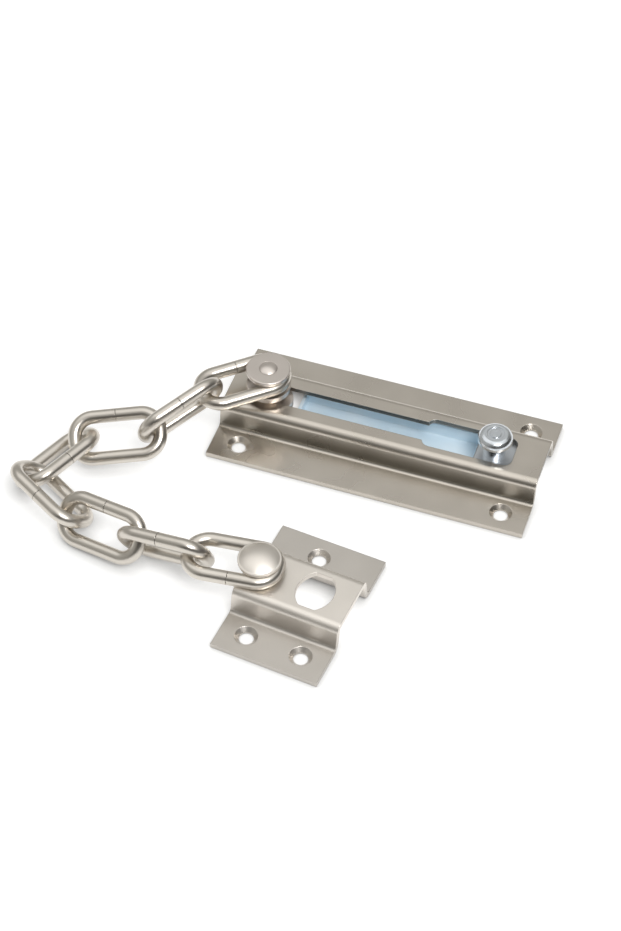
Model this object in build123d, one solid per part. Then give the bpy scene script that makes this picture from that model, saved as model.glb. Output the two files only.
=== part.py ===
from build123d import *
import math
import os

# A door security chain laid out on a table: slide plate with its bolt and chain slider,
# eight wire links, and the keeper plate with its rivet.
# X runs along the slot, Y across the plate and Z out of the door.
# The origin is the middle of the slide plate's screw holes, on the door face.

# Driving dimensions: millimetres and degrees
clearance = 0.3
# Room around each riveted tenon in its hole
rivet_ease = 0.02
# How far a cutter runs past the faces it cuts
cut_past = 1.0

# Both plates are hat sections pressed from one sheet.
sheet = 2.0
hat_height = 11.5
hat_top_width = 23.2
hat_foot_width = 26.8
hat_shoulder_radius = 3.2
hat_foot_radius = 1.6

screw_hole = 5.2
screw_sink = 8.2

# Slide plate, with a narrow slot that widens to an entry for the slider's foot
plate_length = 120.0
plate_width = 56.0
plate_hole_end_inset = 10.0
plate_hole_edge_inset = 7.5
slot_width = 9.2
slot_end_inset = 10.0
entry_width = 13.6
entry_length = 33.8
entry_end_inset = 11.2
entry_corner = 3.0

# Sliding bolt: a tray folded from thin sheet, with a raised tab that carries the knob
bolt_sheet = 1.2
bolt_width = 19.4
bolt_wall_height = 7.0
bolt_lip_height = 4.8
bolt_bend = 1.6
bolt_lip_gap = 1.8
tab_width = 16.0
tab_bend = 0.8
tab_lap = 3.2
tab_end_gap = 6.0

# Knob: turned, riveted through the tab
knob_shank = 8.0
knob_head = 12.8
knob_head_rise = 6.4
knob_rim = 1.5
knob_dome_height = 2.2
knob_dome_inset = 2.2
knob_dome_radius = 3.0
knob_ring_width = 1.1
knob_ring_depth = 0.35
knob_tenon = 5.0
knob_rivet = 7.0
knob_rivet_height = 0.9
knob_end_gap = 3.6

# Slider: oblong foot under the plate, turned stud through the slot, riveted head
foot_length = 18.5
foot_width = 12.6
foot_height = 3.0
foot_tenon = 6.0
foot_stop_gap = 0.6
neck = 8.6
shoulder = 11.5
shoulder_height = 1.9
collar = 16.3
collar_height = 2.0
journal = 6.6
journal_height = 6.4
slider_head = 16.3
slider_head_height = 1.7
slider_head_edge = 0.5
slider_tenon = 5.0
slider_rivet = 6.7
slider_rivet_depth = 1.0
slider_dome = 1.0

# Chain links, each bent from round wire with its ends butted in the middle of one bar
wire = 5.0
link_length = 36.6
link_width = 20.5
link_corner = 7.0
link_butt_gap = 0.2
ring_room = 0.6

# The lay of the chain, link by link from the slider to the keeper:
# compass heading, and roll about the link's own length
link_headings = [221, 233, 199, 247, 332, 349, 355, 6]
link_rolls = [0, -111, -31, -145, -37, -129, -68, 0]
# At each hook: the play between the two bows, which of the two links stands up (0 the first,
# 1 the next), how far the other rides above the middle of its bow, and how far the standing
# one slips up the other's bow
hook_plays = [0.4, 1.1, 1.9, 2.4, 1.2, 0.6, 1.4]
standing_link = [1, 0, 1, 1, 0, 1, 0]
hook_rides = [-1.6, -1.3, 2.9, -3.2, 1.2, 1.1, -0.4]
hook_slips = [0, 0, 0, 2.2, 0, 0, 0]
# How far the first link is drawn to one side of the stud, and the second slopes down to the table
first_link_shift = 1.2
second_link_dip = 6.6

# Keeper plate with its rivet for the last link and a barrel-shaped hole
keeper_length = 40.0
keeper_width = 58.0
keeper_heading = -5.9
keeper_hole_end_inset = 9.7
keeper_hole_edge_inset = 8.2
keeper_back_hole_x = 18.0
keeper_rivet_inset = 5.0
barrel_hole_x = 26.2
barrel_hole_length = 13.4
barrel_hole_width = 15.4
barrel_hole_flat = 6.0
rivet_shank = 7.0
rivet_head = 15.3
rivet_rim = 1.1
rivet_step = 0.6
rivet_dome = 2.0
rivet_tail = 9.0
rivet_tail_height = 1.0

# Places worked out from the sizes
hat_inside = hat_height - sheet
slot_left = -plate_length / 2 + slot_end_inset
slider_x = slot_left + slot_width / 2
entry_right = plate_length / 2 - entry_end_inset
entry_left = entry_right - entry_length
slider_in_entry_x = entry_left + clearance + foot_length / 2
riser_x = slider_in_entry_x + foot_length / 2 + foot_stop_gap
knob_x = entry_right - knob_end_gap - knob_shank / 2
bolt_left = slider_x + foot_length / 2 + bolt_lip_gap
tab_right = entry_right + tab_end_gap
tab_top = hat_inside - clearance
foot_top = hat_inside - clearance
shoulder_bottom = hat_height + clearance
collar_bottom = shoulder_bottom + shoulder_height
journal_bottom = collar_bottom + collar_height
slider_head_bottom = journal_bottom + journal_height
slider_link_z = slider_head_bottom - clearance - wire / 2
keeper_link_z = hat_height + (wire + ring_room) / 2
rivet_head_bottom = hat_height + wire + ring_room
bow_length = link_length - wire
bow_width = link_width - wire


def folded_sheet(points, radii, thickness):
    """Outline of a folded sheet: the line through the points, thickened to its right."""
    line = FilletPolyline(*points, radius=radii)
    return make_face(offset(line, thickness, side=Side.RIGHT).edges())


def hat_section(length, width):
    """A pressed hat-section plate along X, centred in X and Y, flanges on the ground."""
    points = [
        (-width / 2, sheet),
        (-hat_foot_width / 2, sheet),
        (-hat_top_width / 2, hat_height),
        (hat_top_width / 2, hat_height),
        (hat_foot_width / 2, sheet),
        (width / 2, sheet),
    ]
    radii = [hat_foot_radius, hat_shoulder_radius, hat_shoulder_radius, hat_foot_radius]
    return extrude(Plane.YZ * folded_sheet(points, radii, sheet), length / 2, both=True)


def screw_holes(places):
    """Cutters for countersunk holes through a flange, at the given X and Y."""
    sink_depth = (screw_sink - screw_hole) / 2
    through = Pos(0, 0, sheet / 2) * Cylinder(screw_hole / 2, sheet + 2 * cut_past)
    sink = Pos(0, 0, sheet - sink_depth / 2) * Cone(screw_hole / 2, screw_sink / 2, sink_depth)
    cutter = through + sink
    return [Pos(x, y, 0) * cutter for x, y in places]


def through_top(outline):
    """Cutter that takes a flat outline through the top of a hat section."""
    return extrude(Pos(0, 0, hat_inside - cut_past) * outline, sheet + 2 * cut_past)


def rivet_hole(tenon, bottom, thickness):
    """Cutter for a riveted tenon's hole on the Z axis, through a sheet."""
    return Pos(0, 0, bottom + thickness / 2) * Cylinder(tenon / 2 + rivet_ease, thickness + 2 * cut_past)


def turned(outline):
    """Solid of revolution about Z from an outline of radius and height."""
    return revolve(Plane.XZ * make_face(outline), Axis.Z)


# Slide plate
def make_slide_plate():
    """Hat-section plate with four screw holes and the stepped slot."""
    body = hat_section(plate_length, plate_width)
    hole_x = plate_length / 2 - plate_hole_end_inset
    hole_y = plate_width / 2 - plate_hole_edge_inset
    places = [(x, y) for x in (-hole_x, hole_x) for y in (-hole_y, hole_y)]
    slot_right = entry_left + slot_width
    slot = Pos((slot_left + slot_right) / 2, 0) * SlotOverall(slot_right - slot_left, slot_width)
    entry = Pos((entry_left + entry_right) / 2, 0) * RectangleRounded(
        entry_length, entry_width, entry_corner
    )
    return body - screw_holes(places) - through_top(slot + entry)


# Bolt and knob
def make_bolt():
    """Folded tray with side walls, a low front lip and a raised tab with the knob's hole."""
    floor = clearance
    half = bolt_width / 2
    wall_top = floor + bolt_wall_height
    tray_points = [(half, wall_top), (half, floor), (-half, floor), (-half, wall_top)]
    tray_face = folded_sheet(tray_points, bolt_bend, bolt_sheet)
    tray = extrude(Plane.YZ.offset(bolt_left) * tray_face, riser_x - bolt_left)
    lip = Pos(bolt_left + bolt_sheet / 2, 0, floor + bolt_lip_height / 2) * Box(
        bolt_sheet, bolt_width - 2 * bolt_sheet, bolt_lip_height
    )
    tab_points = [
        (riser_x - tab_lap, floor + bolt_sheet),
        (riser_x, floor + bolt_sheet),
        (riser_x, tab_top),
        (tab_right, tab_top),
    ]
    tab_face = folded_sheet(tab_points, tab_bend, bolt_sheet)
    tab = extrude(Plane.XZ * tab_face, tab_width / 2, both=True)
    hole = Pos(knob_x, 0, 0) * rivet_hole(knob_tenon, tab_top - bolt_sheet, bolt_sheet)
    return tray + lip + tab - hole


def make_knob():
    """Turned mushroom knob: tenon riveted under the tab, shank, rim and ringed dome."""
    rim_bottom = tab_top + clearance + knob_head_rise
    rim_top = rim_bottom + knob_rim
    top = rim_top + knob_dome_height
    tail_top = tab_top - bolt_sheet
    shank_r = knob_shank / 2
    head_r = knob_head / 2
    top_r = head_r - knob_dome_inset
    ring_r = top_r - knob_ring_width
    lower = Polyline(
        (0, top),
        (0, tail_top - knob_rivet_height),
        (knob_rivet / 2, tail_top - knob_rivet_height),
        (knob_rivet / 2, tail_top),
        (knob_tenon / 2, tail_top),
        (knob_tenon / 2, tab_top),
        (shank_r, tab_top),
        (shank_r, rim_bottom),
        (head_r - knob_ring_depth, rim_bottom),
        (head_r, rim_bottom + knob_ring_depth),
        (head_r, rim_top),
    )
    dome = RadiusArc((head_r, rim_top), (top_r, top), -knob_dome_radius)
    upper = Polyline(
        (top_r, top),
        (ring_r, top),
        (ring_r, top - knob_ring_depth),
        (ring_r - knob_ring_width, top - knob_ring_depth),
        (ring_r - knob_ring_width, top),
        (0, top),
    )
    return Pos(knob_x, 0, 0) * turned(lower + dome + upper)


# Slider
def make_slider_stud():
    """Turned stud: tenon into the foot, neck, shoulder, collar, journal and domed rivet end."""
    foot_bottom = foot_top - foot_height
    head_top = slider_head_bottom + slider_head_height
    tenon_r = slider_tenon / 2
    rivet_r = slider_rivet / 2
    ball_r = (rivet_r**2 + slider_dome**2) / (2 * slider_dome)
    lower = Polyline(
        (0, head_top + slider_dome),
        (0, foot_bottom),
        (foot_tenon / 2, foot_bottom),
        (foot_tenon / 2, foot_top),
        (neck / 2, foot_top),
        (neck / 2, shoulder_bottom),
        (shoulder / 2, shoulder_bottom),
        (shoulder / 2, collar_bottom),
        (collar / 2, collar_bottom),
        (collar / 2, journal_bottom),
        (journal / 2, journal_bottom),
        (journal / 2, slider_head_bottom),
        (tenon_r, slider_head_bottom),
        (tenon_r, head_top - slider_rivet_depth),
        (rivet_r, head_top),
    )
    dome = RadiusArc((rivet_r, head_top), (0, head_top + slider_dome), -ball_r)
    return Pos(slider_x, 0, 0) * turned(lower + dome)


def make_slider_head():
    """Flat disc above the first link, with a countersunk hole for the stud's riveted end."""
    disc = Cylinder(slider_head / 2, slider_head_height)
    disc = fillet(disc.edges().filter_by(GeomType.CIRCLE), slider_head_edge)
    sink_z = (slider_head_height - slider_rivet_depth) / 2
    sink = Pos(0, 0, sink_z) * Cone(
        slider_tenon / 2 + rivet_ease, slider_rivet / 2 + rivet_ease, slider_rivet_depth
    )
    disc = disc - rivet_hole(slider_tenon, -slider_head_height / 2, slider_head_height) - sink
    return Pos(slider_x, 0, slider_head_bottom + slider_head_height / 2) * disc


def make_slider_foot():
    """Oblong foot that passes through the entry and runs under the slot."""
    blank = extrude(SlotOverall(foot_length, foot_width), foot_height)
    blank = blank - rivet_hole(foot_tenon, 0, foot_height)
    return Pos(slider_x, 0, foot_top - foot_height) * blank


# Chain
def make_link():
    """One wire link in the XY plane, long side along X, butted in the middle of one bar."""
    half_length = bow_length / 2
    half_width = bow_width / 2
    start = (link_butt_gap / 2, -half_width)
    path = FilletPolyline(
        start,
        (half_length, -half_width),
        (half_length, half_width),
        (-half_length, half_width),
        (-half_length, -half_width),
        (-link_butt_gap / 2, -half_width),
        radius=link_corner,
    )
    section = Plane(origin=(*start, 0), z_dir=(1, 0, 0)) * Circle(wire / 2)
    return sweep(section, path=path)


def along(heading):
    """Level unit vector at a heading."""
    angle = math.radians(heading)
    return Vector(math.cos(angle), math.sin(angle), 0)


def upper_side(link):
    """Unit vector across a link, pointing to the side that is higher."""
    roll = math.radians(link_rolls[link])
    side = along(link_headings[link] + 90) * math.cos(roll) + Vector(0, 0, math.sin(roll))
    if side.Z < 0:
        return side * -1
    return side


def hook_step(hook):
    """How far a hook's second link sits from its first along the widths of the two links."""
    standing = hook + standing_link[hook]
    lying = hook + 1 - standing_link[hook]
    ride = upper_side(standing) * hook_rides[hook]
    slip = upper_side(lying) * hook_slips[hook]
    if standing_link[hook] == 0:
        return slip + ride
    return slip - ride


def resting_height(link):
    """Height of a rolled link's middle when its lower bar lies on the table."""
    return bow_width / 2 * abs(math.sin(math.radians(link_rolls[link]))) + wire / 2


def lay_chain():
    """Near end, far end, long axis and width axis of each link, from slider to keeper."""
    far_heights = [
        slider_link_z,
        slider_link_z + hook_step(0).Z - second_link_dip,
        resting_height(3) - hook_step(2).Z,
        resting_height(3),
        resting_height(4),
        resting_height(6) - hook_step(5).Z,
        keeper_link_z - hook_step(6).Z,
        keeper_link_z,
    ]
    reach = journal / 2 + clearance + wire / 2
    stud = Vector(slider_x, 0, slider_link_z)
    near = stud - along(link_headings[0]) * reach + along(link_headings[0] - 90) * first_link_shift
    laid = []
    for link, heading in enumerate(link_headings):
        roll = math.radians(link_rolls[link])
        rise = (far_heights[link] - near.Z) / bow_length
        axis = along(heading) * math.sqrt(1 - rise**2) + Vector(0, 0, rise)
        level = along(heading + 90)
        width_axis = level * math.cos(roll) + axis.cross(level) * math.sin(roll)
        far = near + axis * bow_length
        laid.append((near, far, axis, width_axis))
        if link < len(hook_plays):
            bisector = (along(heading) + along(link_headings[link + 1])).normalized()
            near = far - bisector * (wire + hook_plays[link]) + hook_step(link)
    return laid


chain_lay = lay_chain()
last_far = chain_lay[-1][1]
last_axis = chain_lay[-1][2]
keeper_pivot = last_far - last_axis * (rivet_shank / 2 + clearance + wire / 2)
keeper_place = Location((keeper_pivot.X, keeper_pivot.Y, 0), (0, 0, keeper_heading))


def make_chain_links():
    """All links, each turned and moved to its place in the lay."""
    link = make_link()
    placed = []
    for near, far, axis, width_axis in chain_lay:
        frame = Plane(origin=(near + far) / 2, x_dir=axis, z_dir=axis.cross(width_axis))
        placed.append(frame.location * link)
    return placed


# Keeper, modelled about the rivet's axis
def make_keeper_plate():
    """Short hat-section plate with three screw holes, the barrel hole and the rivet's hole."""
    left = -keeper_rivet_inset
    body = Pos(left + keeper_length / 2, 0, 0) * hat_section(keeper_length, keeper_width)
    front_y = -keeper_width / 2 + keeper_hole_edge_inset
    places = [
        (left + keeper_hole_end_inset, front_y),
        (left + keeper_length - keeper_hole_end_inset, front_y),
        (left + keeper_back_hole_x, -front_y),
    ]
    half_flat = barrel_hole_flat / 2
    half_width = barrel_hole_width / 2
    half_length = barrel_hole_length / 2
    barrel = make_face(
        Line((-half_flat, -half_width), (half_flat, -half_width))
        + ThreePointArc((half_flat, -half_width), (half_length, 0), (half_flat, half_width))
        + Line((half_flat, half_width), (-half_flat, half_width))
        + ThreePointArc((-half_flat, half_width), (-half_length, 0), (-half_flat, -half_width))
    )
    barrel_hole = through_top(Pos(left + barrel_hole_x, 0) * barrel)
    hole = rivet_hole(rivet_shank, hat_inside, sheet)
    return keeper_place * (body - screw_holes(places) - barrel_hole - hole)


def make_keeper_rivet():
    """Domed rivet: tail under the plate, shank for the last link, stepped rim and dome."""
    rim_top = rivet_head_bottom + rivet_rim
    head_r = rivet_head / 2
    cap_r = head_r - rivet_step
    ball_r = (cap_r**2 + rivet_dome**2) / (2 * rivet_dome)
    lower = Polyline(
        (0, rim_top + rivet_dome),
        (0, hat_inside - rivet_tail_height),
        (rivet_tail / 2, hat_inside - rivet_tail_height),
        (rivet_tail / 2, hat_inside),
        (rivet_shank / 2, hat_inside),
        (rivet_shank / 2, rivet_head_bottom),
        (head_r, rivet_head_bottom),
        (head_r, rim_top),
        (cap_r, rim_top),
    )
    dome = RadiusArc((cap_r, rim_top), (0, rim_top + rivet_dome), -ball_r)
    return keeper_place * turned(lower + dome)


nodes = {
    "slide_plate": make_slide_plate(),
    "bolt_tray": make_bolt(),
    "bolt_knob": make_knob(),
    "slider_foot": make_slider_foot(),
    "slider_stud": make_slider_stud(),
    "slider_head": make_slider_head(),
    "keeper_plate": make_keeper_plate(),
    "keeper_rivet": make_keeper_rivet(),
}
for number, link in enumerate(make_chain_links(), start=1):
    nodes[f"chain_link_{number}"] = link

os.makedirs("parts", exist_ok=True)
for name, solid in nodes.items():
    export_step(solid, f"parts/{name}.step")
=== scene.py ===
import math
import bpy
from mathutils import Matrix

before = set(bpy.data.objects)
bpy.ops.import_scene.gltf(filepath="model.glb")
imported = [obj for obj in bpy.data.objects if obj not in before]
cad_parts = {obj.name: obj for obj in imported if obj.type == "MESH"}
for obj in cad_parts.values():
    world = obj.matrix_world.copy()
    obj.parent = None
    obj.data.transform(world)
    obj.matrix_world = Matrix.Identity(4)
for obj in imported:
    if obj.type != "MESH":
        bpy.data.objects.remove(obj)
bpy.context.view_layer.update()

# The view: in front of the plates and a little to the right, looking down at about 49 degrees.
# A long lens keeps the plates' long edges almost parallel.
view_place = (0.16332, -0.55763, 0.64566)
view_down = math.radians(48.62)
view_turn = math.radians(19.04)
view_lens = 91.07
view_near = 0.01
view_far = 20.0
view_data = bpy.data.cameras.new("view")
view_data.lens = view_lens
view_data.clip_start = view_near
view_data.clip_end = view_far
view_camera = bpy.data.objects.new("view", view_data)
view_camera.location = view_place
view_camera.rotation_euler = (math.pi / 2 - view_down, 0.0, view_turn)
bpy.context.scene.collection.objects.link(view_camera)
bpy.context.scene.camera = view_camera
bpy.context.scene.view_settings.view_transform = "Standard"


# The table: a wide sheet of white coated board, dull, that takes the soft shadows of the pieces.
# It lies a hair below them. It is lifted to the white of the background, but not close to a piece,
# where the shadow stays.
def linear(hex_colour):
    """An sRGB hex colour as the linear red, green, blue and alpha that sockets take."""
    parts = [int(hex_colour[i:i + 2], 16) / 255 for i in (1, 3, 5)]
    return [p / 12.92 if p <= 0.04045 else ((p + 0.055) / 1.055) ** 2.4 for p in parts] + [1.0]


def add_node(tree, kind, inputs, **settings):
    """A node of a kind; an input that is given a socket is linked, and any other is set."""
    node = tree.nodes.new(kind)
    for name, value in settings.items():
        setattr(node, name, value)
    for name, value in inputs.items():
        if isinstance(value, bpy.types.NodeSocket):
            tree.links.new(value, node.inputs[name])
        else:
            node.inputs[name].default_value = value
    return node


def new_material(name):
    """An empty material with its node tree."""
    material = bpy.data.materials.new(name)
    material.use_nodes = True
    material.node_tree.nodes.clear()
    return material, material.node_tree


table_half = 3.0
table_drop = 0.0002
table_white = "#b8b8b7"
table_roughness = 0.65
table_gloss = 0.2
lift_white = "#ffffff"
table_lift = 0.66
contact_reach = 0.006
contact_samples = 8
bpy.ops.object.select_all(action="DESELECT")
bpy.ops.mesh.primitive_plane_add(size=2 * table_half, location=(0, 0, -table_drop))
table = bpy.context.object
table.name = "table"
board, tree = new_material("white coated board")
ray = add_node(tree, "ShaderNodeLightPath", {}).outputs
direct = add_node(tree, "ShaderNodeMath", {
    0: ray["Is Camera Ray"], 1: ray["Is Glossy Ray"]}, operation="MAXIMUM")
seen = add_node(tree, "ShaderNodeMath", {
    0: direct.outputs[0], 1: ray["Is Transmission Ray"]}, operation="MAXIMUM")
clear = add_node(tree, "ShaderNodeAmbientOcclusion", {"Distance": contact_reach}, samples=contact_samples)
seen_clear = add_node(tree, "ShaderNodeMath", {
    0: seen.outputs[0], 1: clear.outputs["AO"]}, operation="MULTIPLY")
lift = add_node(tree, "ShaderNodeMath", {
    0: seen_clear.outputs[0], 1: table_lift}, operation="MULTIPLY")
surface = add_node(tree, "ShaderNodeBsdfPrincipled", {
    "Base Color": linear(table_white), "Roughness": table_roughness, "Specular IOR Level": table_gloss,
    "Emission Color": linear(lift_white), "Emission Strength": lift.outputs[0]})
add_node(tree, "ShaderNodeOutputMaterial", {"Surface": surface.outputs["BSDF"]})
table.data.materials.append(board)


# The light: a wide soft lamp overhead and a smaller one high in front, in a plain grey room.
# The room is pale high up, grey on the left and dark low on the right, which the metal shows as bands.
def soft_lamp(name, away, height, turn, width, depth, power):
    """A rectangular lamp aimed at the middle, at a height and a turn in degrees seen from there."""
    height = math.radians(height)
    turn = math.radians(turn)
    level = away * math.cos(height)
    lamp_data = bpy.data.lights.new(name, "AREA")
    lamp_data.shape = "RECTANGLE"
    lamp_data.size = width
    lamp_data.size_y = depth
    lamp_data.energy = power
    lamp = bpy.data.objects.new(name, lamp_data)
    lamp.location = (level * math.sin(turn), -level * math.cos(turn), away * math.sin(height))
    lamp.rotation_euler = (math.pi / 2 - height, 0.0, turn)
    bpy.context.scene.collection.objects.link(lamp)


soft_lamp("top lamp", away=1.1, height=97.0, turn=0.0, width=2.6, depth=1.0, power=4.0)
soft_lamp("front lamp", away=1.3, height=58.0, turn=42.0, width=0.5, depth=0.34, power=9.0)

# A mix node's colour sockets go by number, because their names are also those of its other sockets.
mix_from, mix_to, mix_out = 6, 7, 2

room_dark = "#4e4c49"
room_grey = "#b0afab"
room_top = "#d8d8d6"
dark_way = (0.87, -0.5, 0.0)
dark_start, dark_full = -0.25, 0.45
grey_height, dark_height, top_height = 0.42, 0.70, 1.0
room = bpy.data.worlds.new("room")
room.use_nodes = True
bpy.context.scene.world = room
tree = room.node_tree
tree.nodes.clear()
direction = add_node(tree, "ShaderNodeTexCoord", {}).outputs["Generated"]
rightward = add_node(tree, "ShaderNodeVectorMath", {0: direction, 1: dark_way}, operation="DOT_PRODUCT")
shaded = add_node(tree, "ShaderNodeMapRange", {
    "Value": rightward.outputs["Value"], "From Min": dark_start, "From Max": dark_full})
low = add_node(tree, "ShaderNodeMix", {
    "Factor": shaded.outputs["Result"], mix_from: linear(room_grey), mix_to: linear(room_dark)},
    data_type="RGBA")
up = add_node(tree, "ShaderNodeSeparateXYZ", {"Vector": direction}).outputs["Z"]
low_height = add_node(tree, "ShaderNodeMapRange", {
    "Value": shaded.outputs["Result"], "To Min": grey_height, "To Max": dark_height})
rise = add_node(tree, "ShaderNodeMapRange", {
    "Value": up, "From Min": low_height.outputs["Result"], "From Max": top_height})
sky = add_node(tree, "ShaderNodeMix", {
    "Factor": rise.outputs["Result"], mix_from: low.outputs[mix_out], mix_to: linear(room_top)},
    data_type="RGBA")
glow = add_node(tree, "ShaderNodeBackground", {"Color": sky.outputs[mix_out], "Strength": 1.0})
add_node(tree, "ShaderNodeOutputWorld", {"Surface": glow.outputs["Background"]})


# The slide plate: a hat section pressed from 2 mm steel sheet, with countersunk holes and a stepped slot.
# It is barrel-finished and plated with satin nickel: a warm grey metal, with painted shade low on the
# walls, by the bends to the flanges, and on the punched wall of the slot. Its grain is drawn coarser than
# it is.
def finish_node(node_name, material):
    """Gives a solid of the part its finish."""
    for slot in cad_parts[node_name].material_slots:
        slot.material = material


def plated_steel(name, light, dark, roughness, hollow_mm, hollow_depth, edge_mm):
    """A plated metal: faintly clouded, with shallow hollows of a size, and edges worn round."""
    cloud_mm = 16.0
    cloud_low, cloud_high = 0.3, 0.7
    smoother, rougher = 0.02, 0.03
    noise_detail = 2.0
    hollow_height = 0.0001
    edge_samples = 6
    material, tree = new_material(name)
    place = add_node(tree, "ShaderNodeTexCoord", {}).outputs["Object"]
    clouds = add_node(tree, "ShaderNodeTexNoise", {
        "Vector": place, "Scale": 1000 / cloud_mm, "Detail": noise_detail})
    hollows = add_node(tree, "ShaderNodeTexNoise", {
        "Vector": place, "Scale": 1000 / hollow_mm, "Detail": noise_detail})
    tone = add_node(tree, "ShaderNodeMapRange", {
        "Value": clouds.outputs["Fac"], "From Min": cloud_low, "From Max": cloud_high})
    body = add_node(tree, "ShaderNodeMix", {
        "Factor": tone.outputs["Result"], mix_from: linear(dark), mix_to: linear(light)}, data_type="RGBA")
    rough = add_node(tree, "ShaderNodeMapRange", {
        "Value": tone.outputs["Result"], "To Min": roughness - smoother, "To Max": roughness + rougher})
    rounded = add_node(tree, "ShaderNodeBevel", {"Radius": edge_mm / 1000}, samples=edge_samples)
    bump = add_node(tree, "ShaderNodeBump", {
        "Height": hollows.outputs["Fac"], "Strength": hollow_depth, "Distance": hollow_height,
        "Normal": rounded.outputs["Normal"]})
    surface = add_node(tree, "ShaderNodeBsdfPrincipled", {
        "Base Color": body.outputs[mix_out], "Metallic": 1.0, "Roughness": rough.outputs["Result"],
        "Normal": bump.outputs["Normal"]})
    add_node(tree, "ShaderNodeOutputMaterial", {"Surface": surface.outputs["BSDF"]})
    return material


def shader(material):
    """The surface shader of a finish."""
    return material.node_tree.nodes["Principled BSDF"]


def part_place(tree):
    """The place on the part in metres, as a node's X, Y and Z outputs."""
    place = add_node(tree, "ShaderNodeTexCoord", {}).outputs["Object"]
    return add_node(tree, "ShaderNodeSeparateXYZ", {"Vector": place}).outputs


def tint(material, share, colour, blend="MIX"):
    """Takes the colour of a finish towards another one, by a share that a socket gives."""
    tree = material.node_tree
    base = shader(material).inputs["Base Color"]
    plain = base.links[0].from_socket
    tinted = add_node(tree, "ShaderNodeMix", {
        "Factor": share, mix_from: plain, mix_to: linear(colour)}, data_type="RGBA", blend_type=blend)
    tree.links.new(tinted.outputs[mix_out], base)


satin_nickel = plated_steel(
    "satin nickel on steel", light="#d0c9bf", dark="#c9c2b8", roughness=0.28,
    hollow_mm=0.8, hollow_depth=0.02, edge_mm=0.35)
tree = satin_nickel.node_tree
place = part_place(tree)
# Painted shade: the walls are darkened from just above the flanges up to about 9 mm, fading upwards.
painted_fold_shade = "#a09b91"
fold_start, fold_full = 0.0021, 0.0030
fold_fade, fold_end = 0.0045, 0.0090
above = add_node(tree, "ShaderNodeMapRange", {
    "Value": place["Z"], "From Min": fold_start, "From Max": fold_full})
below = add_node(tree, "ShaderNodeMapRange", {
    "Value": place["Z"], "From Min": fold_end, "From Max": fold_fade})
fold_shade_share = add_node(tree, "ShaderNodeMath", {
    0: above.outputs["Result"], 1: below.outputs["Result"]}, operation="MULTIPLY")
tint(satin_nickel, fold_shade_share.outputs[0], painted_fold_shade)
# Painted shade: the punched wall of the slot is darkened, standing in for the shade under its far edge.
painted_slot_shade = "#77746f"
cut_half, cut_back, cut_rim = 0.0073, 0.0096, 0.0112
beside = add_node(tree, "ShaderNodeMath", {0: place["Y"]}, operation="ABSOLUTE")
in_slot = add_node(tree, "ShaderNodeMath", {0: beside.outputs[0], 1: cut_half}, operation="LESS_THAN")
over_back = add_node(tree, "ShaderNodeMath", {0: place["Z"], 1: cut_back}, operation="GREATER_THAN")
under_rim = add_node(tree, "ShaderNodeMath", {0: place["Z"], 1: cut_rim}, operation="LESS_THAN")
in_sheet = add_node(tree, "ShaderNodeMath", {
    0: over_back.outputs[0], 1: under_rim.outputs[0]}, operation="MULTIPLY")
slot_shade_share = add_node(tree, "ShaderNodeMath", {
    0: in_slot.outputs[0], 1: in_sheet.outputs[0]}, operation="MULTIPLY")
tint(satin_nickel, slot_shade_share.outputs[0], painted_slot_shade)
finish_node("slide_plate", satin_nickel)

# The sliding bolt: a tray folded from 1.2 mm steel sheet, with a raised tab under the knob.
# It is zinc plated and blue passivated: a milky cold blue, rubbed to bare grey on the tab.
blue_zinc = plated_steel(
    "blue passivated zinc on steel", light="#e3f1fa", dark="#d2e8f6", roughness=0.3,
    hollow_mm=0.8, hollow_depth=0.02, edge_mm=0.25)
tree = blue_zinc.node_tree
rubbed_grey = "#c3c7cb"
rubbed_start, rubbed_full = 0.0082, 0.0090
film_metal, bare_metal = 0.1, 0.9
rubbed = add_node(tree, "ShaderNodeMapRange", {
    "Value": part_place(tree)["Z"], "From Min": rubbed_start, "From Max": rubbed_full})
tint(blue_zinc, rubbed.outputs["Result"], rubbed_grey)
bare = add_node(tree, "ShaderNodeMapRange", {
    "Value": rubbed.outputs["Result"], "To Min": film_metal, "To Max": bare_metal})
tree.links.new(bare.outputs["Result"], shader(blue_zinc).inputs["Metallic"])
finish_node("bolt_tray", blue_zinc)

# The knob: turned from bar, with a ringed top, and riveted through the bolt's tab.
# It is bright zinc plated, and the turning marks ring its top, drawn coarser than the real ones.
bright_zinc = plated_steel(
    "bright zinc on turned steel", light="#e2e6ea", dark="#d6dbe0", roughness=0.24,
    hollow_mm=0.8, hollow_depth=0.02, edge_mm=0.25)
tree = bright_zinc.node_tree
knob_x = 0.0412
mark_mm = 0.7
mark_strength = 0.3
mark_height = 0.00005
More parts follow.
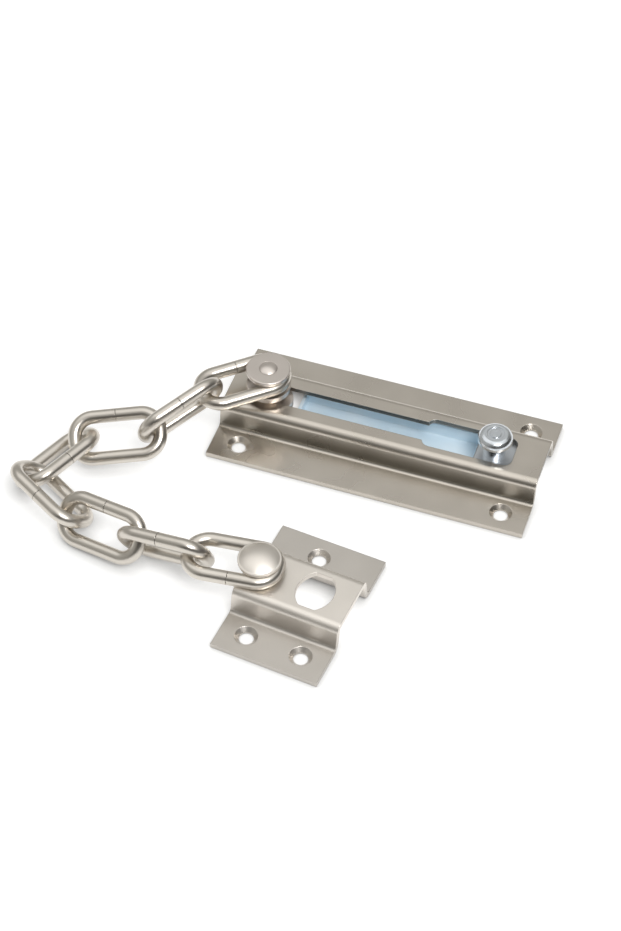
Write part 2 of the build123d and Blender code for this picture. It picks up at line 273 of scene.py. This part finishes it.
# At a scale of 1 the ring pattern runs through 20 radians in a metre.
ring_pace = 20.0
place = add_node(tree, "ShaderNodeTexCoord", {}).outputs["Object"]
centred = add_node(tree, "ShaderNodeMapping", {"Vector": place, "Location": (-knob_x, 0.0, 0.0)})
marks = add_node(tree, "ShaderNodeTexWave", {
    "Vector": centred.outputs["Vector"], "Scale": 2 * math.pi / ring_pace / (mark_mm / 1000)},
    wave_type="RINGS", rings_direction="Z")
normal = shader(bright_zinc).inputs["Normal"]
turned = add_node(tree, "ShaderNodeBump", {
    "Height": marks.outputs["Fac"], "Strength": mark_strength, "Distance": mark_height,
    "Normal": normal.links[0].from_socket})
tree.links.new(turned.outputs["Normal"], normal)
finish_node("bolt_knob", bright_zinc)

# The slider: an oblong foot under the slot, a turned stud, and a head riveted on over the first link.
# All three pieces are nickel plated, a shade paler and softer than the plate.
pale_nickel = plated_steel(
    "pale nickel on turned steel", light="#e0d8d1", dark="#d9d1ca", roughness=0.32,
    hollow_mm=0.8, hollow_depth=0.02, edge_mm=0.25)
for node_name in ("slider_foot", "slider_stud", "slider_head"):
    finish_node(node_name, pale_nickel)

# The chain: eight links bent from 5 mm round steel wire, each butted in the middle of one bar.
# The wire is tumbled and nickel plated, so its shine is broken by shallow dents.
link_count = 8
tumbled_nickel = plated_steel(
    "tumbled nickel on wire", light="#d6d0c7", dark="#cec8bf", roughness=0.3,
    hollow_mm=2.2, hollow_depth=0.12, edge_mm=0.2)
for number in range(1, link_count + 1):
    finish_node(f"chain_link_{number}", tumbled_nickel)

# The keeper: a short hat section of the same sheet, with a barrel-shaped hole, and the domed rivet
# that holds the last link. Its satin is duller than the slide plate's, with painted shade on the low
# flanges, so the raised top reads paler.
dull_nickel = plated_steel(
    "dull satin nickel on steel", light="#eae4dc", dark="#e3ddd5", roughness=0.4,
    hollow_mm=0.8, hollow_depth=0.03, edge_mm=0.35)
tree = dull_nickel.node_tree
# Painted shade: the finish is darkened from the raised top down to the flanges.
painted_flange_shade = "#e0e0e0"
raised_height, flange_height = 0.010, 0.003
flange_shade_share = add_node(tree, "ShaderNodeMapRange", {
    "Value": part_place(tree)["Z"], "From Min": raised_height, "From Max": flange_height})
tint(dull_nickel, flange_shade_share.outputs["Result"], painted_flange_shade, blend="MULTIPLY")
for node_name in ("keeper_plate", "keeper_rivet"):
    finish_node(node_name, dull_nickel)
